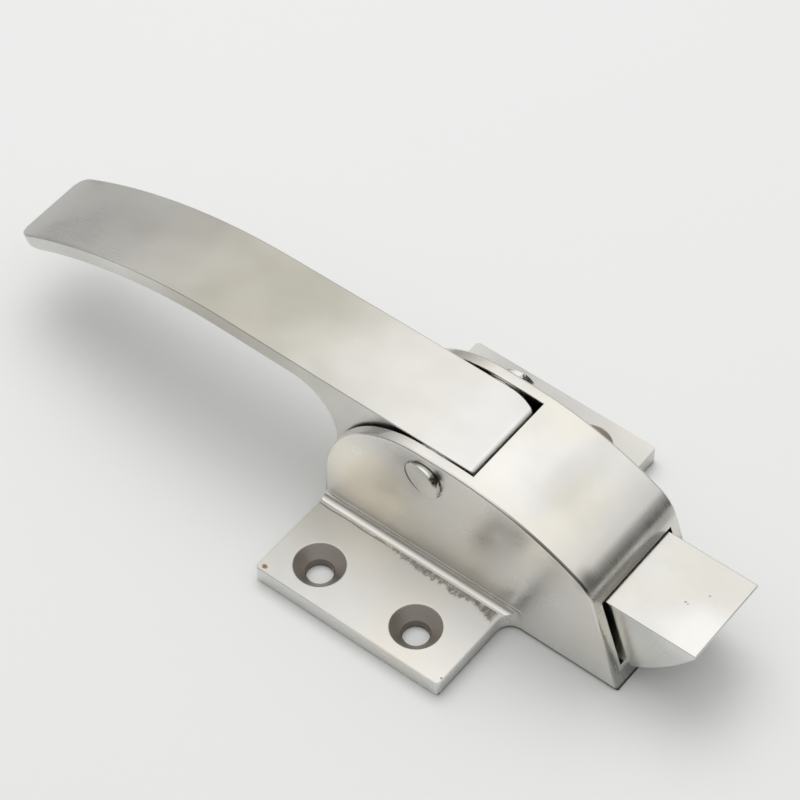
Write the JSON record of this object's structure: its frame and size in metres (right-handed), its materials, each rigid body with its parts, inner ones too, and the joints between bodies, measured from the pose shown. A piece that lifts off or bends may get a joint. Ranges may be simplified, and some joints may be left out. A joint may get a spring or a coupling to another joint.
{
  "type": "freezer door latch",
  "caption": "Surface-mounted freezer door latch in cast stainless steel: lifting the curved lever handle draws back a sprung bolt with a ramped underside.",
  "frame": {"origin": "middle of the four mounting holes, on the mounting face", "axes": "+X towards the bolt tip, +Y across the latch to its far flange, +Z away from the door"},
  "size_m": [0.1991, 0.085, 0.041],
  "materials": {
    "cast_stainless": "satin",
    "handle_stainless": "satin",
    "bolt_stainless": "satin",
    "turned_stainless": "satin",
    "spring_wire": "satin",
    "cover_sheet": "satin",
    "bearing_bronze": "plain",
    "washer_plastic": "matte"
  },
  "bodies": {
    "base": {"housing": "cast_stainless", "pivot_pin": "turned_stainless", "stem_bush": "bearing_bronze", "bolt_spring": "spring_wire", "base_cover": "cover_sheet", "cover_screw_1": "turned_stainless", "cover_screw_2": "turned_stainless", "cover_screw_3": "turned_stainless", "cover_screw_4": "turned_stainless"},
    "handle": {"lever_handle": "handle_stainless", "pivot_bush_near": "bearing_bronze", "pivot_bush_far": "bearing_bronze", "pivot_washer_near": "washer_plastic", "pivot_washer_far": "washer_plastic"},
    "bolt": {"latch_bolt": "bolt_stainless", "bolt_stem": "turned_stainless", "stem_grub_screw": "turned_stainless", "drive_collar": "turned_stainless", "stem_nut": "turned_stainless", "stem_lock_nut": "turned_stainless"}
  },
  "joints": [
    {"name": "handle_lift", "type": "hinge", "parent": "base", "child": "handle", "pos_m": [0.0028, 0, 0.0336], "axis": [0, 1, 0], "range_deg": [0, 40]},
    {"name": "bolt_draw", "type": "slide", "parent": "base", "child": "bolt", "axis": [-1, 0, 0], "range_m": [0, 0.0136], "stiffness_N_per_m": 900, "springref_m": -0.012, "deforming": ["bolt_spring"]}
  ],
  "couplings": [
    {"joint": "bolt_draw", "follows": "handle_lift", "m_per_rad": 0.01948}
  ]
}
